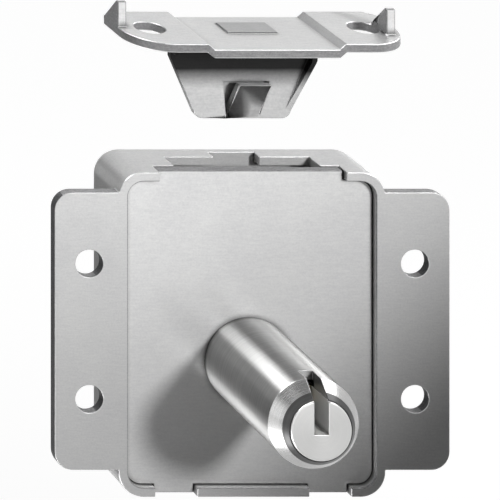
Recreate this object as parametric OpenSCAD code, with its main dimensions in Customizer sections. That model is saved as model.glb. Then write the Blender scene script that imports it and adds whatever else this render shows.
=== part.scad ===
// Chest lock with its strike: a drawn steel case with two screw wings, an inset
// cover plate, a turned cylinder with a disc tumbler plug, a sliding bolt behind
// the cover plate, and the strike that hangs above the slot in the case's top.
//
// X runs to the right, Y away from the person in front of the lock, Z up.
// The origin is on the cylinder's axis, in the plane of the wings' front faces.

/* [Sheet] */
// Thickness of the case's sheet
sheet = 2; // [1.5:0.1:2.2]
// Gap round the pieces that seat in the case
seat_gap = 0.1; // [0.05:0.05:0.2]
// Gap between pieces that slide on each other
slide_gap = 0.12; // [0.1:0.02:0.16]

/* [Case] */
// Outside width of the case
case_w = 57.5; // [56:0.5:70]
// Outside height of the case
case_h = 70; // [68:0.5:84]
// Depth of the case from the wings' front to its back
case_depth = 12; // [11.8:0.1:15]
// Radius of the case's corners, seen from the front
case_corner_r = 5.4; // [5:0.1:7]
// Radius of the bend round the case's back
case_bend_r = 1; // [0.6:0.1:2]
// Radius of the bend inside the case's back
inner_bend_r = 0.5; // [0.3:0.1:2]
// Height of the case's top above the cylinder's axis
case_top = 41.4; // [40.5:0.1:43]

/* [Wings] */
// Span over both wings
wing_span = 85.2; // [83:0.2:96]
// Height of the wings
wing_h = 59.9; // [52:0.1:62]
// Height of the wings' middle above the cylinder's axis
wing_mid = 7.15; // [6:0.05:8]
// Radius of the wings' corners
wing_corner_r = 4; // [2:0.5:6]
// Diameter of the screw holes
screw_hole_d = 5.9; // [4:0.1:6.4]
// Distance between the left and the right screw holes
screw_pitch_x = 70.2; // [69:0.2:74]
// Distance between the upper and the lower screw holes
screw_pitch_z = 29.2; // [20:0.2:40]

/* [Cover plate] */
// Depth of the plate's face behind the wings' front
plate_recess = 1.4; // [1:0.05:1.6]
// Thickness of the cover plate
plate_t = 1.9; // [1.5:0.05:2]
// Sideways shift of the plate's tabs from the axis
tab_shift = 0.3; // [-1:0.1:1]
// Width of the top tab
top_tab_w = 39.9; // [36:0.1:42]
// Width of each bottom tab
bottom_tab_w = 8.6; // [6:0.1:10]
// Distance between the middles of the bottom tabs
bottom_tab_pitch = 33.2; // [28:0.1:36]
// Gap at the ends of the tabs
tab_end_gap = 0.2; // [0.05:0.05:0.5]
// How far the tabs' ends lie inside the case's outer faces
tab_sink = 0.25; // [0:0.05:0.6]

/* [Strike slot] */
// Sideways place of the slot's middle from the cylinder's axis
slot_shift = 0.6; // [-1:0.1:1]
// Width of the slot for the tongue
slot_w = 31.6; // [30:0.2:34]
// Depth of the slot behind the cover plate
slot_depth = 4.4; // [4.3:0.05:4.6]
// Width of the notch behind the slot
notch_w = 9.9; // [8:0.1:12]

/* [Cylinder] */
// Diameter of the cylinder's housing
barrel_d = 19.05; // [18.6:0.05:20]
// Length of the housing in front of the cover plate
barrel_l = 25.4; // [25:0.1:32]
// Height of the cone on the housing's end
nose_h = 2.05; // [1.5:0.05:2.5]
// Diameter at the cone's front
nose_d = 15.2; // [14.6:0.1:16]
// Height of the lip in front of the cone
lip_h = 0.9; // [0.5:0.05:1.2]
// Diameter at the lip's front
lip_d = 13.2; // [13.1:0.05:13.6]
// Diameter of the housing's neck in the cover plate
neck_d = 15.9; // [15:0.1:17]
// Length of the notch in the housing's rim
rim_notch_l = 3; // [2:0.1:3.4]

/* [Plug] */
// Diameter of the plug
plug_d = 12.7; // [12.5:0.1:12.9]
// Length of the plug in front of the housing's end
plug_proud = 0.3; // [0.1:0.05:1]
// Width of the key slot
key_w = 3; // [2:0.1:3.2]
// Depth of the key slot below the axis
key_below = 0.8; // [0.4:0.1:1.2]
// Radial gap between the plug and its housing
plug_gap = 0.05; // [0.03:0.01:0.08]
// Diameter of the plug's tail
tail_d = 6; // [5.4:0.1:6.4]
// Width over the flats on the end of the tail
tail_flats = 4.6; // [4:0.1:5]

/* [Disc tumblers] */
// Number of disc tumblers
disc_n = 5; // [5]
// Thickness of a disc tumbler
disc_t = 0.8; // [0.6:0.1:0.9]
// Width of a disc tumbler
disc_w = 5; // [4.6:0.1:5.2]
// Distance from one disc tumbler to the next
disc_pitch = 3.5; // [3:0.1:3.7]
// Travel of a disc tumbler into the housing
disc_travel = 0.9; // [0.6:0.1:1]

/* [Bolt and driver] */
// Thickness of the bolt
bolt_t = 1.5; // [1.3:0.05:1.6]
// Distance of the driver's pin from the axis
crank_r = 4.6; // [4.4:0.1:4.8]
// Diameter of the driver's pin
pin_d = 2.2; // [1.8:0.1:2.4]
// Diameter of the driver
driver_d = 13; // [12.6:0.1:14]
// Thickness of the driver
driver_t = 1.6; // [1.2:0.1:1.8]
// Diameter of the studs that guide the bolt
stud_d = 3; // [2.4:0.1:3.2]
// Height of the bolt's finger
finger_h = 5.6; // [4:0.1:6.5]

/* [Strike] */
// Length of the strike's plate
strike_l = 59.4; // [58:0.2:66]
// Depth of the strike's plate, front to back
strike_depth = 17.3; // [16:0.1:20]
// Thickness of the strike's plate
strike_t = 1.9; // [1.5:0.1:2.2]
// Width of the sunk panel in the middle of the plate
panel_w = 29.5; // [28:0.1:31]
// How far the panel is sunk below the ears
panel_sink = 1.2; // [0.4:0.1:1.4]
// Radius of the plate's front corners
strike_corner_r = 8.5; // [6:0.1:8.6]
// Diameter of the strike's screw holes
strike_hole_d = 6.2; // [4:0.1:6.6]
// Distance between the strike's screw holes
strike_pitch = 46; // [44:0.2:47]
// Height of the prongs above the plate
prong_h = 5.5; // [4:0.1:8]
// Thickness of the prongs
prong_t = 1.9; // [1.5:0.1:2]
// Depth of a prong's foot, front to back
prong_depth = 6.2; // [5:0.1:7]
// Distance of the left prong in front of the plate's rear edge
prong_set = 2.2; // [1.4:0.1:4]
// How far the right prong stands in front of the left one
prong_stagger = 4.1; // [0:0.1:4.5]
// How far the right prong stands in from the plate's end
prong_inset = 1.9; // [0:0.1:2.4]
// Length of the tongue below the plate
tongue_l = 19; // [18.6:0.1:19.4]
// Height of the slanted part of the tongue's sides
tongue_taper = 13.2; // [11:0.1:16]
// Width of the tongue at its lower end
tongue_tip_w = 19.8; // [18:0.1:22]
// Distance of the tongue's face in front of the plate's rear edge
tongue_set = 3; // [2:0.1:5]
// Thickness of the tongue
tongue_t = 1.7; // [1.5:0.05:1.75]
// Height of the barb's tip above the tongue's lower end
barb_h = 8; // [7.4:0.1:8.4]
// Width of the barb
barb_w = 7; // [6:0.1:7.4]
// How far the barb leans forward
barb_lean = 1.7; // [1.4:0.05:1.75]
// How far the barb leans to the side
barb_slant = 2; // [1:0.1:2.4]
// Height of the tongue's lower end above the case at rest
strike_lift = 9.35; // [6:0.05:14]

/* [Hidden] */
$fn = 64;

steel = [0.70, 0.70, 0.70];
plate_steel = [0.76, 0.76, 0.76];
turned = [0.83, 0.83, 0.82];
nickel = [0.86, 0.86, 0.85];
dark_steel = [0.45, 0.45, 0.46];
brass = [0.78, 0.62, 0.30];

// An overlap that makes cuts run clear of the faces they leave
over = 1;

// Case and cover plate
case_mid = case_top - case_h / 2;
pocket_w = case_w - 2 * sheet;
pocket_h = case_h - 2 * sheet;
pocket_r = case_corner_r - sheet;
plate_back = plate_recess + plate_t;
case_floor = case_depth - sheet;

// Cylinder and plug
barrel_r = barrel_d / 2;
barrel_end = barrel_l - plate_recess;
cone_end = barrel_end + nose_h;
nose_end = cone_end + lip_h;
plug_r = plug_d / 2;
bore_r = plug_r + plug_gap;
plug_end = nose_end + plug_proud;
plug_bevel = 0.2;
plug_back = 0.5;
plug_end_gap = 0.1;
bore_back = plug_back + plug_end_gap;
tail_r = tail_d / 2;
tail_hole_r = tail_r + plug_gap;
key_end = 3;
screw_r = 1.2;
screw_hole_r = screw_r + plug_gap;
screw_hole_l = 5;

// Disc tumblers: a side ear stands on a small spring in the plug
disc_end_room = 4;
disc_first = barrel_end - disc_end_room;
disc_gap = 0.05;
disc_sink = 0.15;
disc_r = plug_r - disc_sink;
window_side_gap = 0.1;
window_w = key_w + 2 * window_side_gap;
window_h = 4.6;
window_offsets = [0.4, -0.3, 0.6, 0, -0.5];
ear_reach = 1.9;
ear_h = 1.4;
ear_bottom = -1.2;
spring_aside = 1;
spring_x = disc_w / 2 + spring_aside;
spring_r = 0.5;
spring_wire_r = 0.14;
spring_turns = 4;
spring_rings = 8;
spring_sides = 5;
pocket_floor = -4.2;
pocket_hole_r = 0.8;
groove_gap = 0.2;
groove_end_gap = 1;
groove_w = disc_w + 2 * groove_gap;
groove_r = disc_r + disc_travel + 2 * groove_gap;
groove_l = (disc_n - 1) * disc_pitch + disc_t + 2 * groove_end_gap;

// The bolt moves as far as the driver's pin does in a quarter turn, from as far left of
// upright as it ends to the right
bolt_front = plate_back + slide_gap;
bolt_back = bolt_front + bolt_t;
pin_rest = 45;
bolt_travel = 2 * crank_r * sin(pin_rest);
pin_slot_gap = 0.17;
driver_front = bolt_back + slide_gap;
driver_back = driver_front + driver_t;
pin_x = -crank_r * sin(pin_rest);
pin_z = crank_r * cos(pin_rest);
screw_head_r = 4.2;
screw_head_t = 1.4;
screw_slot_w = 0.8;
screw_slot_t = 0.7;

body_bottom = -7;
body_top = 8;
stud_x = 13.5;
stud_z = -2.5;
stud_head_over = 1.2;
stud_head_r = stud_d / 2 + stud_head_over;
stud_head_t = 0.75;
stud_slot_r = stud_d / 2 + slide_gap;
bolt_left_wall = 2.6;
bolt_right_wall = 2.4;
bolt_left = -(stud_x + bolt_travel + stud_slot_r + bolt_left_wall);
bolt_right = stud_x + stud_slot_r + bolt_right_wall;
arm_w = 7.4;
bolt_corner_r = 1.5;
tail_side_gap = 0.2;
tail_slot_r = tail_r + tail_side_gap;

// Strike at rest, and how far it goes down into the case
tongue_gap = 0.28;
tongue_front = bolt_back + tongue_gap;
tongue_back = tongue_front + tongue_t;
tongue_low = case_top + strike_lift;
panel_under = tongue_low + tongue_l;
ear_under = panel_under + panel_sink;
tongue_side_gap = 0.3;
tongue_top_w = slot_w - 2 * tongue_side_gap;
strike_down_gap = 0.3;
strike_travel = panel_under - case_top - strike_down_gap;
strike_back = tongue_front + tongue_set;
strike_front = strike_back - strike_depth;
strike_mid_y = (strike_front + strike_back) / 2;
step_w = 1.4;
prong_tip = 0.8;
pad_w = 10.7;
pad_depth = 5.2;
pad_h = 0.4;
pad_back = 3.8;
pad_shift = -0.9;
tongue_corner_r = 2;
taper_top = tongue_low + tongue_taper;
tongue_web = 0.5;
barb_root = 0.9;
barb_t = 1.5;
barb_edge = 0.1;
barb_x = -barb_w / 2;
window_gap = 0.3;
flange_t = 1.2;
flange_reach = barb_lean;
finger_barb_gap = 0.3;
finger_low = tongue_low - strike_travel + barb_h + finger_barb_gap;
finger_top = finger_low + finger_h;
finger_end_gap = 0.7;
finger_end = slot_shift + barb_x - finger_end_gap;
flange_gap = 0.5;
flange_clear = finger_top - (tongue_low - strike_travel) + flange_gap;

// A flat shape in X and Z made solid from y0 back to y1
module slab(y0, y1) {
    translate([0, y1, 0]) rotate([90, 0, 0]) linear_extrude(y1 - y0) children();
}

// A round bar along Y
module bar(r, y0, y1) {
    slab(y0, y1) circle(r);
}

// A shape turned about Y, drawn as radius and distance to the front
module turned_about_y() {
    rotate([90, 0, 0]) rotate_extrude() children();
}

module box_between(low, high) {
    translate(low) cube(high - low);
}

module round_rect(w, h, r) {
    square([w, h - 2 * r], center = true);
    square([w - 2 * r, h], center = true);
    for (x = [-1, 1], y = [-1, 1])
        translate([x * (w / 2 - r), y * (h / 2 - r)]) circle(r);
}

// A round-ended slot from x0 to x1, r high on each side of its middle line
module long_hole(x0, x1, r) {
    translate([x0 + r, -r]) square([x1 - x0 - 2 * r, 2 * r]);
    for (x = [x0 + r, x1 - r]) translate([x, 0]) circle(r);
}

// Section of a drawn tray across one side, bent round at its floor
module tray_section(half, depth, bend) {
    translate([-half, 0]) square([2 * half, depth - bend]);
    translate([-half + bend, 0]) square([2 * half - 2 * bend, depth]);
    for (x = [-1, 1]) translate([x * (half - bend), depth - bend]) circle(bend);
}

// The space of a drawn tray, open face at Y = 0 and floor at Y = depth
module tray(w, h, depth, corner, bend) {
    linear_extrude(h - 2 * corner, center = true) tray_section(w / 2, depth, bend);
    rotate([0, 90, 0]) linear_extrude(w - 2 * corner, center = true)
        tray_section(h / 2, depth, bend);
    for (x = [-1, 1], z = [-1, 1])
        translate([x * (w / 2 - corner), 0, z * (h / 2 - corner)])
            rotate([-90, 0, 0]) rotate_extrude() intersection() {
                tray_section(corner, depth, bend);
                square([corner, depth]);
            }
}

// Both wings, in one piece behind the case's mouth
module wings() {
    translate([0, 0, wing_mid]) slab(0, sheet)
        round_rect(wing_span, wing_h, wing_corner_r);
}

module screw_holes() {
    for (x = [-1, 1], z = [-1, 1])
        translate([x * screw_pitch_x / 2, 0, wing_mid + z * screw_pitch_z / 2])
            bar(screw_hole_d / 2, -over, sheet + over);
}

// Notches in the top and bottom walls where the plate's tabs sit
module tab_notches() {
    half_top = top_tab_w / 2 + tab_end_gap;
    half_bottom = bottom_tab_w / 2 + tab_end_gap;
    box_between([tab_shift - half_top, -over, case_top - sheet - over],
        [tab_shift + half_top, plate_back + seat_gap, case_top + over]);
    for (side = [-1, 1]) {
        mid = tab_shift + side * bottom_tab_pitch / 2;
        box_between([mid - half_bottom, -over, case_top - case_h - over],
            [mid + half_bottom, plate_back + seat_gap, case_top - case_h + sheet + over]);
    }
}

// The slot in the top wall that takes the strike's tongue
module strike_slot() {
    low = case_top - sheet - over;
    translate([slot_shift, 0, 0]) {
        box_between([-slot_w / 2, plate_back, low],
            [slot_w / 2, plate_back + slot_depth, case_top + over]);
        box_between([-notch_w / 2, plate_back, low],
            [notch_w / 2, case_floor, case_top + over]);
    }
}

module case() {
    color(steel) difference() {
        union() {
            translate([0, 0, case_mid])
                tray(case_w, case_h, case_depth, case_corner_r, case_bend_r);
            wings();
        }
        translate([0, -over, case_mid])
            tray(pocket_w, pocket_h, case_floor + over, pocket_r, inner_bend_r);
        tab_notches();
        strike_slot();
        screw_holes();
    }
}

module cover_plate() {
    color(plate_steel) slab(plate_recess, plate_back) difference() {
        union() {
            translate([0, case_mid])
                round_rect(pocket_w - 2 * seat_gap, pocket_h - 2 * seat_gap, pocket_r - seat_gap);
            translate([tab_shift - top_tab_w / 2, case_mid])
                square([top_tab_w, case_h / 2 - tab_sink]);
            for (side = [-1, 1])
                translate([tab_shift + side * bottom_tab_pitch / 2 - bottom_tab_w / 2,
                        case_top - case_h + tab_sink])
                    square([bottom_tab_w, case_h / 2]);
        }
        circle(neck_d / 2 + plug_gap);
    }
}

module cylinder_housing() {
    color(turned) difference() {
        turned_about_y() polygon([
            [tail_hole_r, -plate_back],
            [neck_d / 2, -plate_back],
            [neck_d / 2, -plate_recess],
            [barrel_r, -plate_recess],
            [barrel_r, barrel_end],
            [nose_d / 2, cone_end],
            [lip_d / 2, nose_end],
            [bore_r, nose_end],
            [bore_r, -bore_back],
            [tail_hole_r, -bore_back]
        ]);
        box_between([-key_w / 2, -plug_end, plug_r - over],
            [key_w / 2, -(barrel_end - rim_notch_l), barrel_r + over]);
        groove_front = -(disc_first + disc_t / 2 + groove_end_gap);
        for (turn = [0, 90])
            rotate([0, turn, 0])
                box_between([-groove_w / 2, groove_front, -groove_r],
                    [groove_w / 2, groove_front + groove_l, groove_r]);
    }
}

// Where a disc tumbler's middle lies along Y, counted from the front
function disc_y(i) = -disc_first + (i - 1) * disc_pitch;

// The cuts in the plug that one disc tumbler and its spring lie in
module disc_pocket(i) {
    half_t = disc_t / 2 + disc_gap;
    y = disc_y(i);
    box_between([-disc_w / 2 - disc_gap, y - half_t, -plug_r - over],
        [disc_w / 2 + disc_gap, y + half_t, plug_r + over]);
    box_between([0, y - half_t, pocket_floor],
        [disc_w / 2 + ear_reach + disc_gap, y + half_t,
            ear_bottom + ear_h + disc_travel + groove_gap]);
    translate([spring_x, y, pocket_floor])
        cylinder(h = ear_bottom + ear_h + disc_travel - pocket_floor, r = pocket_hole_r);
}

module plug() {
    color(nickel) difference() {
        union() {
            turned_about_y() polygon([
                [0, -driver_front],
                [tail_r, -driver_front],
                [tail_r, -plug_back],
                [plug_r, -plug_back],
                [plug_r, plug_end - plug_bevel],
                [plug_r - plug_bevel, plug_end],
                [0, plug_end]
            ]);
            slab(driver_front - over, driver_back) intersection() {
                circle(tail_r);
                square([tail_flats, tail_d], center = true);
            }
        }
        box_between([-key_w / 2, -plug_end - over, -key_below],
            [key_w / 2, -key_end, plug_r + over]);
        for (i = [1:disc_n]) disc_pocket(i);
        bar(screw_hole_r, driver_back - screw_hole_l, driver_back + over);
    }
}

module disc_tumbler(i) {
    color(brass) slab(disc_y(i) - disc_t / 2, disc_y(i) + disc_t / 2) difference() {
        union() {
            intersection() {
                circle(disc_r);
                square([disc_w, 2 * plug_d], center = true);
            }
            translate([0, ear_bottom]) square([disc_w / 2 + ear_reach, ear_h]);
        }
        translate([0, window_offsets[i - 1]])
            square([window_w, window_h], center = true);
    }
}

// A point on the spring's wire: k counts rings up the coil, j runs round the wire
function spring_point(k, j, height) =
    let (turn = 360 * k / spring_rings, side = 360 * j / spring_sides,
        reach = spring_r + spring_wire_r * cos(side))
    [reach * cos(turn), reach * sin(turn),
        spring_wire_r + height * k / (spring_rings * spring_turns)
            + spring_wire_r * sin(side)];

// A close coil of round wire, one unbroken tube from its seat up to the ear
module disc_spring(i) {
    height = ear_bottom - pocket_floor - disc_gap - 2 * spring_wire_r;
    last = spring_rings * spring_turns;
    n = spring_sides;
    points = [for (k = [0:last], j = [0:n - 1]) spring_point(k, j, height)];
    walls = [for (k = [0:last - 1], j = [0:n - 1], half = [0, 1])
        let (a = k * n + j, b = k * n + (j + 1) % n)
        half == 0 ? [a, b, b + n] : [a, b + n, a + n]];
    ends = [for (j = [1:n - 2], half = [0, 1])
        half == 0 ? [0, j + 1, j] : [last * n, last * n + j, last * n + j + 1]];
    color(dark_steel) translate([spring_x, disc_y(i), pocket_floor])
        polyhedron(points, concat(walls, ends));
}

module driver() {
    color(dark_steel) {
        slab(driver_front, driver_back) difference() {
            circle(driver_d / 2);
            intersection() {
                circle(tail_r + plug_gap);
                square([tail_flats + 2 * plug_gap, 2 * tail_d], center = true);
            }
        }
        translate([pin_x, 0, pin_z]) bar(pin_d / 2, bolt_front, driver_front);
    }
}

module driver_screw() {
    color(nickel) difference() {
        union() {
            bar(screw_head_r, driver_back, driver_back + screw_head_t);
            bar(screw_r, driver_back - screw_hole_l + over, driver_back);
        }
        slab(driver_back + screw_head_t - screw_slot_t, driver_back + screw_head_t + over)
            square([3 * screw_head_r, screw_slot_w], center = true);
    }
}

// A rectangle between two corner points
module span(low, high) {
    translate(low) square(high - low);
}

// What is cut off a square corner at the origin to round it; the plate lies at
// the sides that side_x and side_z point to
module corner_cut(corner, side_x, side_z, r) {
    flip_x = side_x < 0 ? 1 : 0;
    flip_z = side_z < 0 ? 1 : 0;
    translate(corner) mirror([flip_x, 0]) mirror([0, flip_z]) difference() {
        translate([-over, -over]) square(r + over);
        translate([r, r]) circle(r);
    }
}

module bolt() {
    r = bolt_corner_r;
    color(dark_steel) slab(bolt_front, bolt_back) difference() {
        union() {
            span([bolt_left, body_bottom], [bolt_right, body_top]);
            span([bolt_left, body_bottom], [bolt_left + arm_w, finger_top]);
            span([bolt_left, finger_low], [finger_end, finger_top]);
        }
        corner_cut([bolt_left, body_bottom], 1, 1, r);
        corner_cut([bolt_right, body_bottom], -1, 1, r);
        corner_cut([bolt_right, body_top], -1, -1, r);
        corner_cut([bolt_left, finger_top], 1, -1, r);
        corner_cut([finger_end, finger_low], -1, 1, r);
        corner_cut([finger_end, finger_top], -1, -1, r);
        long_hole(-bolt_travel - tail_slot_r, tail_slot_r, tail_slot_r);
        translate([pin_x - pin_d / 2 - pin_slot_gap, 0])
            square([pin_d + 2 * pin_slot_gap, crank_r + pin_d / 2 + pin_slot_gap]);
        for (side = [-1, 1])
            translate([side * stud_x, stud_z])
                long_hole(-bolt_travel - stud_slot_r, stud_slot_r, stud_slot_r);
    }
}

// Two headed studs fixed to the back of the cover plate
module bolt_guides() {
    color(nickel) for (side = [-1, 1])
        translate([side * stud_x, 0, stud_z]) {
            bar(stud_d / 2, plate_back, bolt_back + slide_gap);
            bar(stud_head_r, bolt_back + slide_gap, bolt_back + slide_gap + stud_head_t);
        }
}

// The strike's plate seen from above, square at the back, round at the front
module strike_outline() {
    half = strike_l / 2;
    translate([-half, strike_front + strike_corner_r])
        square([strike_l, strike_depth - strike_corner_r]);
    translate([-half + strike_corner_r, strike_front])
        square([strike_l - 2 * strike_corner_r, strike_depth]);
    for (side = [-1, 1])
        translate([side * (half - strike_corner_r), strike_front + strike_corner_r])
            circle(strike_corner_r);
}

// Section of the strike's plate: raised ears either side of a sunk panel
module strike_section() {
    half = strike_l / 2;
    inner = panel_w / 2 - step_w;
    outer = panel_w / 2;
    polygon([
        [-half, ear_under], [-outer, ear_under], [-inner, panel_under],
        [inner, panel_under], [outer, ear_under], [half, ear_under],
        [half, ear_under + strike_t], [outer, ear_under + strike_t],
        [inner, panel_under + strike_t], [-inner, panel_under + strike_t],
        [-outer, ear_under + strike_t], [-half, ear_under + strike_t]
    ]);
}

// A prong bent up near the plate's end: its outer face at X = outer, its foot's rear at Y = back
module prong(outer, back) {
    low = ear_under;
    high = ear_under + strike_t;
    translate([outer - prong_t, 0, 0]) rotate([90, 0, 90]) linear_extrude(prong_t) polygon([
        [back - prong_depth, low], [back, low], [back, high],
        [back - prong_depth + prong_tip, high + prong_h],
        [back - prong_depth, high + prong_h]
    ]);
}

module strike_plate() {
    color(plate_steel) translate([slot_shift, 0, 0]) difference() {
        union() {
            intersection() {
                slab(strike_front - over, strike_back + over) strike_section();
                translate([0, 0, panel_under - over])
                    linear_extrude(strike_t + panel_sink + 2 * over) strike_outline();
            }
            prong(prong_t - strike_l / 2, strike_back - prong_set);
            prong(strike_l / 2 - prong_inset, strike_back - prong_set - prong_stagger);
            box_between(
                [pad_shift - pad_w / 2, strike_back - pad_back - pad_depth, panel_under + strike_t / 2],
                [pad_shift + pad_w / 2, strike_back - pad_back, panel_under + strike_t + pad_h]);
        }
        for (side = [-1, 1])
            translate([side * strike_pitch / 2, strike_mid_y, ear_under - over])
                cylinder(h = strike_t + 2 * over, r = strike_hole_d / 2);
    }
}

// The tongue's outline, narrow at its lower end, with rounded lower corners
module tongue_outline() {
    half_top = tongue_top_w / 2;
    half_tip = tongue_tip_w / 2;
    r = tongue_corner_r;
    lean = atan2(half_top - half_tip, tongue_taper);
    // Where the slanted side leaves the round corner
    centre_x = half_tip - r * (1 - sin(lean)) / cos(lean);
    polygon([
        [-half_top, panel_under], [half_top, panel_under], [half_top, taper_top],
        [centre_x + r * cos(lean), tongue_low + r - r * sin(lean)],
        [centre_x, tongue_low], [-centre_x, tongue_low],
        [-centre_x - r * cos(lean), tongue_low + r - r * sin(lean)],
        [-half_top, taper_top]
    ]);
    for (side = [-1, 1]) translate([side * centre_x, tongue_low + r]) circle(r);
}

// The strip along the tongue's side that is bent forward, from the height low upwards
module flange(low) {
    half_top = tongue_top_w / 2;
    half_tip = tongue_tip_w / 2;
    intersection() {
        slab(tongue_front - flange_reach, tongue_front + tongue_t / 2) intersection() {
            polygon([
                [half_tip - flange_t, tongue_low], [half_tip, tongue_low],
                [half_top, taper_top], [half_top, panel_under],
                [half_top - flange_t, panel_under], [half_top - flange_t, taper_top]
            ]);
            translate([0, tongue_low + low]) square([half_top, tongue_l - low]);
        }
        translate([-over, 0, 0]) rotate([90, 0, 90]) linear_extrude(half_top + 2 * over)
            polygon([
                [tongue_front, tongue_low + tongue_corner_r],
                [tongue_front + tongue_t, tongue_low + tongue_corner_r],
                [tongue_front + tongue_t, panel_under],
                [tongue_front - flange_reach, panel_under],
                [tongue_front - flange_reach, panel_under - tongue_l / 3]
            ]);
    }
}

// The barb: cut on three sides from the tongue and bent forward and sideways
module barb() {
    tip_x = barb_x + barb_slant;
    hull() {
        box_between([barb_x, tongue_front, tongue_low + barb_root / 2],
            [barb_x + barb_w, tongue_front + barb_t, tongue_low + barb_root]);
        box_between([tip_x, tongue_front - barb_lean, tongue_low + barb_h - barb_edge],
            [tip_x + barb_w, tongue_front - barb_lean + barb_t, tongue_low + barb_h]);
    }
}

module strike_tongue() {
    color(steel) translate([slot_shift, 0, 0]) {
        difference() {
            slab(tongue_front, tongue_back) tongue_outline();
            slab(tongue_front - over, tongue_back - tongue_web) polygon([
                [barb_x, tongue_low + barb_root],
                [barb_x + barb_w + window_gap, tongue_low + barb_root],
                [barb_x + barb_w + barb_slant + window_gap, tongue_low + barb_h],
                [barb_x - 2 * window_gap, tongue_low + barb_h]
            ]);
        }
        barb();
        flange(tongue_corner_r);
        mirror([1, 0, 0]) flange(flange_clear);
    }
}

case();
cover_plate();
cylinder_housing();
plug();
for (i = [1:disc_n]) {
    disc_tumbler(i);
    disc_spring(i);
}
driver();
driver_screw();
bolt();
bolt_guides();
strike_plate();
strike_tongue();
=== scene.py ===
import math

import bpy
from mathutils import Matrix, Vector
from mathutils.bvhtree import BVHTree


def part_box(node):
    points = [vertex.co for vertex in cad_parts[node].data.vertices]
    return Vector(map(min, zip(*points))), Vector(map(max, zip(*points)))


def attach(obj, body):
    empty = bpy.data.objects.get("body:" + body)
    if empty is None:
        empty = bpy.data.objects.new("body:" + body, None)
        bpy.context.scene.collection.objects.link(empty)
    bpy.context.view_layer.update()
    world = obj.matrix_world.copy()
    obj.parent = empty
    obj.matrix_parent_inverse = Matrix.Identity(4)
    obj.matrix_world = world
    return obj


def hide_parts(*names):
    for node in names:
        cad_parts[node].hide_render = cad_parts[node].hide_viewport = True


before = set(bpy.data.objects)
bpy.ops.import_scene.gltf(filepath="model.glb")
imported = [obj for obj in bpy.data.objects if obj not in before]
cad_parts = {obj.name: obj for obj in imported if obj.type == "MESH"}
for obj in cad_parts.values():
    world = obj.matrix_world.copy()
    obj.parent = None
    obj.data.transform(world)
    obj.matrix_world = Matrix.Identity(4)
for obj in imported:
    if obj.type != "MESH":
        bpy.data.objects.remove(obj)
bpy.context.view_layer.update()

# Camera: the lock was drawn by a view camera. Its film stands upright and square to the front
# of the lock, while its lens looks down and to the right.
LENS_PLACE = Vector((-0.3864, -0.730, 0.3712))
LENS_AIM = Vector((0.3859, 0.730, -0.3465))
LENS_LENGTH = 299.2
FILM_WIDTH = 36


def copy_camera():
    """The lean of the lens is in the matrix between the camera and its stand."""
    film = Matrix.Identity(4)
    film.col[0][:3] = (1, 0, 0)
    film.col[1][:3] = (0, 0, 1)
    film.col[2][:3] = -LENS_AIM.normalized()
    film.col[3][:3] = LENS_PLACE
    lens = bpy.data.cameras.new("copy_lens")
    lens.sensor_width = FILM_WIDTH
    lens.lens = LENS_LENGTH
    lens.clip_start = 0.01
    camera = bpy.data.objects.new("copy_camera", lens)
    stand = bpy.data.objects.new("copy_stand", None)
    for item in (camera, stand):
        bpy.context.scene.collection.objects.link(item)
    camera.parent = stand
    camera.matrix_parent_inverse = film
    bpy.context.scene.camera = camera
    bpy.context.scene.view_settings.view_transform = "Standard"


copy_camera()


# Finishes: the steps that they are made of
def finish(name, metallic, roughness):
    material = bpy.data.materials.new(name)
    material.use_nodes = True
    shader = material.node_tree.nodes["Principled BSDF"]
    shader.inputs["Metallic"].default_value = metallic
    shader.inputs["Roughness"].default_value = roughness
    return material, material.node_tree, shader


def add(tree, kind, **values):
    node = tree.nodes.new(kind)
    for name, value in values.items():
        if name in node.inputs:
            node.inputs[name].default_value = value
        else:
            setattr(node, name, value)
    return node


def noise(tree, place, scale, detail, rough):
    node = add(tree, "ShaderNodeTexNoise", Scale=scale, Detail=detail, Roughness=rough)
    tree.links.new(place, node.inputs["Vector"])
    return node.outputs["Fac"]


def spread(tree, value, low, high, to_low, to_high):
    """Stretches the range from low to high onto the range from to_low to to_high."""
    ends = {"From Min": low, "From Max": high, "To Min": to_low, "To Max": to_high}
    node = add(tree, "ShaderNodeMapRange", **ends)
    tree.links.new(value, node.inputs["Value"])
    return node.outputs["Result"]


def times(tree, a, b):
    node = add(tree, "ShaderNodeMath", operation="MULTIPLY")
    tree.links.new(a, node.inputs[0])
    if isinstance(b, (int, float)):
        node.inputs[1].default_value = b
    else:
        tree.links.new(b, node.inputs[1])
    return node.outputs[0]


def plus(tree, a, b):
    node = add(tree, "ShaderNodeMath", operation="ADD")
    tree.links.new(a, node.inputs[0])
    tree.links.new(b, node.inputs[1])
    return node.outputs[0]


def two_tones(tree, value, dark, light, low, high):
    ramp = add(tree, "ShaderNodeValToRGB")
    ramp.color_ramp.elements[0].position = low
    ramp.color_ramp.elements[1].position = high
    ramp.color_ramp.elements[0].color = (*dark, 1)
    ramp.color_ramp.elements[1].color = (*light, 1)
    tree.links.new(value, ramp.inputs["Fac"])
    return ramp.outputs["Color"]


def darker(tree, colour, shade):
    mix = add(tree, "ShaderNodeMix", data_type="RGBA", blend_type="MULTIPLY")
    mix.inputs["Factor"].default_value = 1
    tree.links.new(colour, mix.inputs[6])
    tree.links.new(shade, mix.inputs[7])
    return mix.outputs[2]


def painted_corner_shade(tree, colour, reach, depth, low, high):
    """Painted shade: darkens the colour where two walls meet, by how closed the corner is."""
    corner = add(tree, "ShaderNodeAmbientOcclusion", samples=8, Distance=reach)
    shade = spread(tree, corner.outputs["AO"], low, high, 1 - depth, 1)
    return darker(tree, colour, shade)


# Zinc plate: lines of the brush, clouds and tooth, all in waves per metre, and a painted
# shadow whose rim wavers a little
BRUSH_ALONG = 420
BRUSH_ACROSS = 2600
CLOUDS = 70
TOOTH = 2400
PAINTED_SHADOW_WAVER = 0.0008
PAINTED_SHADOW_TONE = 0.03
BUMP_DEPTH = 0.00003


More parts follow.
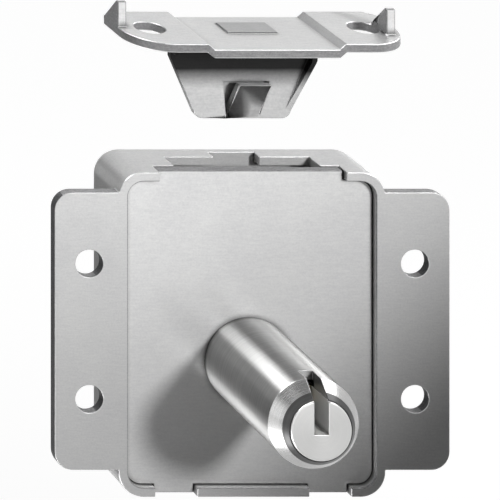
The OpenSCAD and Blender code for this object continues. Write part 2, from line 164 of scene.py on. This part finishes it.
def satin_zinc(name, dark, light, metallic=0.45, roughness=(0.30, 0.38), turn=35, gloss=0.5,
               corner=0.75, reach=0.0014, open_from=0.35, open_to=0.95, painted_shadow_from=None):
    """Dull zinc plate on rolled sheet: a fine even tooth, soft clouds, and faint brush lines
    that are turned by some degrees. Corners that are less open than open_to darken by up to
    the share corner, as painted shade. A painted shadow may darken it, from none at the first
    height of painted_shadow_from to full at the second."""
    material, tree, shader = finish(name, metallic, roughness[0])
    shader.inputs["Specular IOR Level"].default_value = gloss
    place = add(tree, "ShaderNodeTexCoord").outputs["Object"]
    brush = add(tree, "ShaderNodeMapping", Rotation=(0, math.radians(turn), 0),
                Scale=(BRUSH_ALONG, BRUSH_ACROSS, BRUSH_ACROSS))
    tree.links.new(place, brush.inputs["Vector"])
    streak = noise(tree, brush.outputs["Vector"], scale=1, detail=2, rough=0.6)
    cloud = noise(tree, place, scale=CLOUDS, detail=4, rough=0.55)
    tooth = noise(tree, place, scale=TOOTH, detail=2, rough=0.7)
    soft_tone = plus(tree, times(tree, streak, 0.3), times(tree, cloud, 0.3))
    tone = plus(tree, soft_tone, times(tree, tooth, 0.4))
    colour = two_tones(tree, tone, dark, light, low=0.38, high=0.62)
    if painted_shadow_from:
        parts = add(tree, "ShaderNodeSeparateXYZ")
        tree.links.new(place, parts.inputs["Vector"])
        height = plus(tree, parts.outputs["Z"], times(tree, cloud, PAINTED_SHADOW_WAVER))
        colour = darker(tree, colour, spread(tree, height, *painted_shadow_from, 1, PAINTED_SHADOW_TONE))
    colour = painted_corner_shade(tree, colour, reach, corner, open_from, open_to)
    tree.links.new(colour, shader.inputs["Base Color"])
    tree.links.new(spread(tree, tone, 0.35, 0.65, roughness[1], roughness[0]),
                   shader.inputs["Roughness"])
    bump = add(tree, "ShaderNodeBump", Strength=0.25, Distance=BUMP_DEPTH)
    relief = plus(tree, times(tree, streak, 0.4), times(tree, tooth, 0.6))
    tree.links.new(relief, bump.inputs["Height"])
    tree.links.new(bump.outputs["Normal"], shader.inputs["Normal"])
    return material


# Turned metal: its clouds in waves per metre, and how far and how deep painted shade reaches
# from its corners
TURNED_CLOUDS = 130
TURNED_REACH = 0.0016
TURNED_CORNER_SHADE = 0.8


def lathe_turned(name, dark, light, metallic=0.9, roughness=(0.38, 0.46), streak=0.97,
                 rings=2600):
    """Turned metal: hair lines run round the lock's own axis, so light spreads along it."""
    material, tree, shader = finish(name, metallic, roughness[0])
    shader.inputs["Anisotropic"].default_value = streak
    shader.inputs["Anisotropic Rotation"].default_value = 0.25
    tangent = add(tree, "ShaderNodeTangent", direction_type="RADIAL", axis="Y")
    tree.links.new(tangent.outputs[0], shader.inputs["Tangent"])
    place = add(tree, "ShaderNodeTexCoord").outputs["Object"]
    parts = add(tree, "ShaderNodeSeparateXYZ")
    tree.links.new(place, parts.inputs["Vector"])
    x, y, z = (parts.outputs[axis] for axis in "XYZ")
    radius = add(tree, "ShaderNodeMath", operation="SQRT")
    tree.links.new(plus(tree, times(tree, x, x), times(tree, z, z)), radius.inputs[0])
    lines = add(tree, "ShaderNodeCombineXYZ")
    tree.links.new(times(tree, radius.outputs[0], rings), lines.inputs["X"])
    tree.links.new(times(tree, y, rings), lines.inputs["Y"])
    hair = noise(tree, lines.outputs["Vector"], scale=1, detail=3, rough=0.65)
    cloud = noise(tree, place, scale=TURNED_CLOUDS, detail=3, rough=0.6)
    tone = plus(tree, times(tree, hair, 0.5), times(tree, cloud, 0.5))
    colour = two_tones(tree, tone, dark, light, low=0.34, high=0.66)
    colour = painted_corner_shade(tree, colour, TURNED_REACH, TURNED_CORNER_SHADE, low=0.4, high=0.9)
    tree.links.new(colour, shader.inputs["Base Color"])
    tree.links.new(spread(tree, tone, 0.35, 0.65, roughness[1], roughness[0]),
                   shader.inputs["Roughness"])
    return material


# Sizes of the lock, in metres, that no box of its solids gives
SHEET = 0.002
SEAT_GAP = 0.0001
MOUTH_CORNER = 0.0034
LIP_DEPTH = 0.0009
CONE_DEPTH = 0.00205
STRIKE_SHEET = 0.0019
PANEL_SINK = 0.0012
PAD_WIDTH = 0.0107
PAD_DEPTH = 0.0052
PAD_BACK = 0.0038
PAD_SHIFT = -0.0009
STRIKE_CUT = 0.0021

# Where the painted shadow on the hook, for the shade under the strike's panel, starts and is
# full, above its lower end
PAINTED_SHADOW_START = 0.00685
PAINTED_SHADOW_FULL = 0.01125

# How near to the mouth's rim and how deep its painted seam shade goes, the room that a
# rounded bend takes, and what counts as touching
MOUTH_NEAR = 0.0003
MOUTH_DEEP = 0.0008
BEND = 0.00045
HAIR = 0.00005

# Places on the lock
case_low, case_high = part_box("case")
_, cover_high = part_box("cover_plate")
housing_low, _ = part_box("cylinder_housing")
strike_low, strike_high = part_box("strike_plate")
hook_low, hook_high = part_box("strike_tongue")

mouth_half_w = cover_high.x + SEAT_GAP
mouth_half_h = (case_high.z - case_low.z) / 2 - SHEET
mouth_middle = (case_high.z + case_low.z) / 2
wing_start = mouth_half_w + SHEET + BEND
lip_back = housing_low.y + LIP_DEPTH
cone_back = lip_back + CONE_DEPTH
panel_top = strike_low.z + STRIKE_SHEET
ear_top = panel_top + PANEL_SINK
prong_start = ear_top + BEND
pad_middle = (hook_low.x + hook_high.x) / 2 + PAD_SHIFT
pad_rear = strike_high.y - PAD_BACK
painted_shadow_heights = (hook_low.z + PAINTED_SHADOW_START, hook_low.z + PAINTED_SHADOW_FULL)

# The lock's finishes; several of them are painted shade, as said at each
case_zinc = satin_zinc("case_zinc", (0.46, 0.46, 0.465), (0.56, 0.56, 0.555))
plate_zinc = satin_zinc("plate_zinc", (0.54, 0.54, 0.545), (0.64, 0.64, 0.635), turn=-40)
# The strike's painted corner shade is stronger and reaches further, so it darkens the panel
# beside its steps and round the prongs
strike_zinc = satin_zinc("strike_zinc", (0.53, 0.53, 0.535), (0.65, 0.65, 0.645), turn=90,
                         corner=0.85, reach=0.0018, open_from=0.6, open_to=0.97)
# The hook's colour carries a painted shadow at its top, for the shade that the strike's panel
# casts on it
hook_zinc = satin_zinc("hook_zinc", (0.42, 0.42, 0.425), (0.52, 0.52, 0.515), gloss=0.1,
                       corner=0.5, painted_shadow_from=painted_shadow_heights)
# Dark cut edges: partly the darker tone of the sheet's cut, partly painted shade in the seams
# and on edges turned from the light
cut_edge_and_painted_shade = satin_zinc("cut_edge_and_painted_shade", (0.14, 0.14, 0.145), (0.24, 0.24, 0.24), metallic=0.3,
                      roughness=(0.5, 0.65))
# Painted shade for sides that face left, away from the key light
left_side_painted_shade = satin_zinc("left_side_painted_shade", (0.05, 0.05, 0.055), (0.10, 0.10, 0.10), metallic=0.3,
                       roughness=(0.5, 0.65), gloss=0.2)
# A darker tone for the strike's pad, and painted shade on the slanted faces of its steps
dark_pad_and_step_shade = satin_zinc("dark_pad_and_step_shade", (0.30, 0.30, 0.305), (0.38, 0.38, 0.38), turn=90)
inner_zinc = satin_zinc("inner_zinc", (0.30, 0.30, 0.31), (0.42, 0.42, 0.42),
                        roughness=(0.4, 0.55))
spring_wire = satin_zinc("spring_wire", (0.24, 0.24, 0.26), (0.42, 0.42, 0.44),
                         roughness=(0.25, 0.4))
barrel_metal = lathe_turned("barrel_metal", (0.24, 0.24, 0.24), (0.32, 0.32, 0.315),
                            metallic=1.0, roughness=(0.31, 0.38))
nose_metal = lathe_turned("nose_metal", (0.36, 0.36, 0.36), (0.46, 0.46, 0.455),
                          roughness=(0.22, 0.30), streak=0.2)
# Nearly black: painted shade for the dark crescent of the lip round the plug
lip_painted_shade = lathe_turned("lip_painted_shade", (0.05, 0.05, 0.05), (0.09, 0.09, 0.09),
                         roughness=(0.30, 0.40), streak=0.2)
plug_metal = lathe_turned("plug_metal", (0.65, 0.65, 0.645), (0.71, 0.71, 0.70),
                          metallic=0.6, roughness=(0.34, 0.42), streak=0.3, rings=3200)
# Dull brass drawn dark and grey, partly painted shade for the tumblers inside the lock
tumbler_brass = lathe_turned("tumbler_brass", (0.26, 0.23, 0.17), (0.42, 0.37, 0.27),
                             streak=0.2, rings=2000)


# Pieces: the solids' own shapes with worn edges and their finishes
def pick(piece):
    bpy.ops.object.select_all(action="DESELECT")
    piece.select_set(True)
    bpy.context.view_layer.objects.active = piece


def corners_off(piece, size, chosen):
    """Cuts off at a slant the edges that have both ends at a chosen place."""
    bpy.ops.object.mode_set(mode="EDIT")
    bpy.ops.mesh.select_mode(type="EDGE")
    bpy.ops.mesh.select_all(action="DESELECT")
    bpy.ops.object.mode_set(mode="OBJECT")
    for edge in piece.data.edges:
        ends = [piece.data.vertices[index].co for index in edge.vertices]
        edge.select = all(chosen(end) for end in ends)
    bpy.ops.object.mode_set(mode="EDIT")
    bpy.ops.mesh.bevel(offset=size, segments=1, affect="EDGES")
    bpy.ops.object.mode_set(mode="OBJECT")


def pull_back(piece, node, reach):
    """Corners that the rounding threw off the solid go back onto it."""
    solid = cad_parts[node].data
    corners = [corner.co for corner in solid.vertices]
    faces = [face.vertices[:] for face in solid.polygons]
    skin = BVHTree.FromPolygons(corners, faces)
    for corner in piece.data.vertices:
        spot, _, _, distance = skin.find_nearest(corner.co)
        if distance > reach:
            corner.co = spot


def dressed(name, node, body, metal, edge, cut=0, chosen=None):
    """A copy of the solid, with its edges rounded and, where asked, some corners cut off."""
    piece = bpy.data.objects.new(name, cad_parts[node].data.copy())
    bpy.context.scene.collection.objects.link(piece)
    pick(piece)
    bpy.ops.object.mode_set(mode="EDIT")
    bpy.ops.mesh.select_all(action="SELECT")
    bpy.ops.mesh.remove_doubles(threshold=0.000001)
    bpy.ops.object.mode_set(mode="OBJECT")
    if cut:
        corners_off(piece, cut, chosen)
    bpy.ops.mesh.customdata_custom_splitnormals_clear()
    bpy.ops.object.shade_smooth()
    rounding = piece.modifiers.new("rounding", "BEVEL")
    rounding.width = edge
    rounding.segments = 2
    rounding.limit_method = "ANGLE"
    rounding.angle_limit = math.radians(30)
    rounding.use_clamp_overlap = False
    rounding.loop_slide = False
    rounding.harden_normals = True
    bpy.ops.object.modifier_apply(modifier="rounding")
    pull_back(piece, node, edge)
    piece.data.materials.clear()
    piece.data.materials.append(metal)
    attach(piece, body)
    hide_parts(node)
    return piece


def sheared(piece, metal, chosen):
    """Gives the chosen faces, such as a sheet's cut edges, another material, which in most
    uses below is painted shade.
    """
    piece.data.materials.append(metal)
    for face in piece.data.polygons:
        if chosen(face.center, face.normal):
            face.material_index = len(piece.data.materials) - 1


def mouth_distance(spot):
    """How far a place lies outside the rounded mouth of the case, seen from the front."""
    dx = abs(spot.x) - (mouth_half_w - MOUTH_CORNER)
    dz = abs(spot.z - mouth_middle) - (mouth_half_h - MOUTH_CORNER)
    return math.hypot(max(dx, 0), max(dz, 0)) + min(max(dx, dz), 0) - MOUTH_CORNER


def on_case_edge(spot, normal):
    at_wing = abs(spot.x) > wing_start and abs(normal.y) < 0.8
    near_mouth = spot.y < MOUTH_DEEP and abs(mouth_distance(spot)) < MOUTH_NEAR
    return at_wing or (near_mouth and normal.y > -0.98)


def on_wing_left_side(spot, normal):
    return abs(spot.x) > wing_start and normal.x < -0.5


def on_cover_edge(spot, normal):
    return abs(normal.y) < 0.95


def on_cone(spot, normal):
    return cone_back > spot.y > lip_back and abs(normal.y) > 0.3


def on_lip(spot, normal):
    return spot.y < lip_back


def at_rear_corner(spot):
    at_side = spot.x < strike_low.x + HAIR or spot.x > strike_high.x - HAIR
    return at_side and spot.y > strike_high.y - HAIR


def on_strike_edge(spot, normal):
    upright = abs(normal.z) < 0.3 and (spot.z < ear_top - HAIR or normal.x < -0.7)
    at_prong = spot.z > prong_start and max(map(abs, normal)) < 0.96
    return upright or at_prong


def on_pad_or_step(spot, normal):
    across = abs(spot.x - pad_middle) < PAD_WIDTH / 2
    along = pad_rear - PAD_DEPTH < spot.y < pad_rear
    leaning = 0.3 < abs(normal.x) < 0.95 and normal.z > 0.3
    between = panel_top - HAIR < spot.z < ear_top + HAIR
    return (across and along and normal.z > 0.9) or (leaning and between)


case_sheet = dressed("case_sheet", "case", "lock_body", case_zinc,
                     edge=0.00022)
# The case's cut edges and the seam round its mouth are drawn dark, partly as painted shade
sheared(case_sheet, cut_edge_and_painted_shade, on_case_edge)
# The wings' left-facing sides get painted shade
sheared(case_sheet, left_side_painted_shade, on_wing_left_side)

cover_sheet = dressed("cover_sheet", "cover_plate", "lock_body", plate_zinc,
                      edge=0.00018)
# Every edge face of the cover is drawn dark, partly as painted shade in the seam round it
sheared(cover_sheet, cut_edge_and_painted_shade, on_cover_edge)

lock_barrel = dressed("lock_barrel", "cylinder_housing", "lock_body",
                      barrel_metal, edge=0.00014)
sheared(lock_barrel, nose_metal, on_cone)
# The lip round the plug gets painted shade
sheared(lock_barrel, lip_painted_shade, on_lip)

dressed("key_plug", "plug", "plug", plug_metal, edge=0.00012)

strike_sheet = dressed("strike_sheet", "strike_plate", "strike", strike_zinc,
                       edge=0.00022, cut=STRIKE_CUT, chosen=at_rear_corner)
# The strike's upright and left-facing edges and its prongs' sides are drawn dark, partly as
# painted shade
sheared(strike_sheet, cut_edge_and_painted_shade, on_strike_edge)
# The pad's top is drawn darker and the step faces get painted shade
sheared(strike_sheet, dark_pad_and_step_shade, on_pad_or_step)

dressed("strike_hook", "strike_tongue", "strike", hook_zinc, edge=0.00020)


def coated(node, metal):
    """An inner solid stays as it is and only gets its finish."""
    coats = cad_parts[node].data.materials
    coats.clear()
    coats.append(metal)


for node in ("driver", "driver_screw", "bolt", "bolt_guides"):
    coated(node, inner_zinc)
for number in range(1, 6):
    coated(f"disc_tumbler_{number}", tumbler_brass)
    coated(f"disc_spring_{number}", spring_wire)

# Studio: levels of light, and places in metres
AIR_LEVEL = 0.08
FLOOR_HEIGHT = -0.22
FLOOR_SIZE = 8
FLOOR_WHITE = 0.95
FLOOR_GREY = 0.2
CARD_WHITE = 24.0
CARD_REACH = 0.248
KEY_WAY = Vector((0.40, -0.80, 0.44))
KEY_REACH = 0.6
KEY_SIZE = 0.11
LOCK_MIDDLE = (0, 0, 0.01)
CONE_MIDDLE = (0, -0.025, 0)


def seen_as_white(tree):
    """1 for rays from the camera and for rays that metal or glass sends on, 0 for the rest."""
    path = add(tree, "ShaderNodeLightPath")
    both = plus(tree, path.outputs["Is Camera Ray"], path.outputs["Is Glossy Ray"])
    three = add(tree, "ShaderNodeMath", operation="ADD", use_clamp=True)
    tree.links.new(both, three.inputs[0])
    tree.links.new(path.outputs["Is Transmission Ray"], three.inputs[1])
    return three.outputs[0]


def studio_air():
    world = bpy.data.worlds.new("studio_air")
    bpy.context.scene.world = world
    world.use_nodes = True
    tree = world.node_tree
    back = tree.nodes["Background"]
    back.inputs["Color"].default_value = (1, 1, 1, 1)
    strength = spread(tree, seen_as_white(tree), 0, 1, AIR_LEVEL, 1)
    tree.links.new(strength, back.inputs["Strength"])


def flat_sheet(name, width, height):
    bpy.ops.object.select_all(action="DESELECT")
    bpy.ops.mesh.primitive_plane_add(size=1, location=(0, 0, 0))
    sheet = bpy.context.object
    sheet.name = name
    sheet.scale = (width, height, 1)
    bpy.ops.object.transform_apply(location=False, rotation=False, scale=True)
    return sheet


def studio_floor():
    floor = flat_sheet("studio_floor", FLOOR_SIZE, FLOOR_SIZE)
    floor.location = (0, 0, FLOOR_HEIGHT)
    material, tree, shader = finish("floor_paper", 0, 1)
    shader.inputs["Base Color"].default_value = (FLOOR_GREY, FLOOR_GREY, FLOOR_GREY, 1)
    shader.inputs["Specular IOR Level"].default_value = 0
    shader.inputs["Emission Color"].default_value = (1, 1, 1, 1)
    strength = times(tree, seen_as_white(tree), FLOOR_WHITE)
    tree.links.new(strength, shader.inputs["Emission Strength"])
    floor.data.materials.append(material)


def turn_to(item, place, aim, face):
    item.location = place
    item.rotation_mode = "QUATERNION"
    item.rotation_quaternion = (Vector(aim) - Vector(place)).to_track_quat(face, "Y")


def lamp(name, place, aim, size, power, glint=True):
    light = bpy.data.lights.new(name, "AREA")
    light.shape = "DISK"
    light.size = size
    light.energy = power
    item = bpy.data.objects.new(name, light)
    bpy.context.scene.collection.objects.link(item)
    turn_to(item, place, aim, "-Z")
    item.visible_camera = False
    item.visible_glossy = glint


def flag(name, place, size, turn):
    """A black card that stands in the lamp's light, square to the front of the lock, and
    lets it fade out towards the lower right."""
    card = flat_sheet(name, size, size)
    card.location = place
    card.rotation_euler = (math.radians(90), math.radians(turn), 0)
    material, _, shader = finish("flag_felt", 0, 1)
    shader.inputs["Base Color"].default_value = (0.02, 0.02, 0.02, 1)
    card.data.materials.append(material)
    card.visible_camera = False
    card.visible_diffuse = False
    card.visible_glossy = False
    card.visible_transmission = False


def reflector(name, place, aim, width, height, level, slope=(0, 0), soft=0.2):
    """A paper card that only the metal's reflections see. Its brightness is the level at its
    middle and changes by the slope per metre across and up, and its rim fades out."""
    card = flat_sheet(name, width, height)
    turn_to(card, place, aim, "Z")
    material = bpy.data.materials.new(name + "_paper")
    material.use_nodes = True
    tree = material.node_tree
    tree.nodes.remove(tree.nodes["Principled BSDF"])
    parts = add(tree, "ShaderNodeSeparateXYZ")
    tree.links.new(add(tree, "ShaderNodeTexCoord").outputs["Object"], parts.inputs["Vector"])
    x, y = parts.outputs["X"], parts.outputs["Y"]
    run = plus(tree, times(tree, x, slope[0]), times(tree, y, slope[1]))
    glow = add(tree, "ShaderNodeEmission")
    strength = spread(tree, run, -level, CARD_WHITE - level, 0, CARD_WHITE)
    tree.links.new(strength, glow.inputs["Strength"])
    fades = []
    for side, span in ((x, width), (y, height)):
        rim = add(tree, "ShaderNodeMath", operation="ABSOLUTE")
        tree.links.new(side, rim.inputs[0])
        fades.append(spread(tree, rim.outputs[0], span * (0.5 - soft), span * 0.5, 1, 0))
    mix = add(tree, "ShaderNodeMixShader")
    tree.links.new(times(tree, *fades), mix.inputs[0])
    tree.links.new(add(tree, "ShaderNodeBsdfTransparent").outputs[0], mix.inputs[1])
    tree.links.new(glow.outputs[0], mix.inputs[2])
    tree.links.new(mix.outputs[0], tree.nodes["Material Output"].inputs["Surface"])
    card.data.materials.append(material)
    card.visible_camera = False
    card.visible_diffuse = False
    card.visible_shadow = False


def round_barrel(angle, along):
    """A card's place round the barrel, by its angle from the right and its place along Y."""
    turn = math.radians(angle)
    return CARD_REACH * math.cos(turn), along, CARD_REACH * math.sin(turn)


studio_air()
studio_floor()

# One key light in two lamps: the stronger shows in no reflection, and the weaker glints
key_place = KEY_WAY.normalized() * KEY_REACH
lamp("key_lamp", key_place, LOCK_MIDDLE, KEY_SIZE, power=3.4, glint=False)
lamp("key_glint", key_place, LOCK_MIDDLE, KEY_SIZE, power=1.4)
flag("key_flag", (0.148, -0.125, -0.0085), size=0.2, turn=45)

# The front faces mirror a card that fades from their upper left, and the top faces an even one
reflector("front_card", (0.11, -0.12, -0.0625), (0.11, 0, -0.0625),
          width=0.26, height=0.185, level=-1.41, slope=(19.0, 36.5), soft=0.12)
reflector("top_card", (0.20, 0.36, 0.20), (0.02, 0, 0.03), width=0.3, height=0.3, level=1.2)

# Bright bands and a dark core along the barrel
reflector("band_card_1", round_barrel(38.2, 0.01), LOCK_MIDDLE,
          width=0.24, height=0.09, level=13.0, slope=(0, 60))
reflector("band_card_2", round_barrel(119.0, 0.01), LOCK_MIDDLE,
          width=0.24, height=0.16, level=18.0)
reflector("band_card_3", round_barrel(237.0, -0.03), LOCK_MIDDLE,
          width=0.36, height=0.24, level=8.5)
reflector("band_card_4", round_barrel(56.6, 0.01), LOCK_MIDDLE,
          width=0.24, height=0.07, level=4.5)
reflector("dark_card_1", round_barrel(180.9, -0.01), LOCK_MIDDLE,
          width=0.60, height=0.24, level=0.0, soft=0.25)

# The cone is dark at its top and bright at its left
reflector("ring_top_card", (-0.022, -0.124, 0.195), CONE_MIDDLE,
          width=0.28, height=0.13, level=0.1, soft=0.15)
reflector("ring_corner_card", (-0.136, -0.135, 0.132), CONE_MIDDLE,
          width=0.10, height=0.12, level=0.1)
reflector("ring_left_card_1", (-0.172, -0.117, 0.025), CONE_MIDDLE,
          width=0.05, height=0.12, level=2.6, soft=0.15)
reflector("ring_left_card_2", (-0.170, -0.095, -0.070), CONE_MIDDLE,
          width=0.05, height=0.12, level=2.0, soft=0.15)

# Dark cards for the bends that face up and to the left, and for the sides that face left
reflector("crease_card", (-0.19, 0.36, 0.15), (-0.02, 0, 0.04),
          width=0.15, height=0.15, level=0.0, soft=0.25)
reflector("edge_card", (-0.18, 0.36, -0.17), (-0.04, 0, 0.0),
          width=0.2, height=0.2, level=0.0)
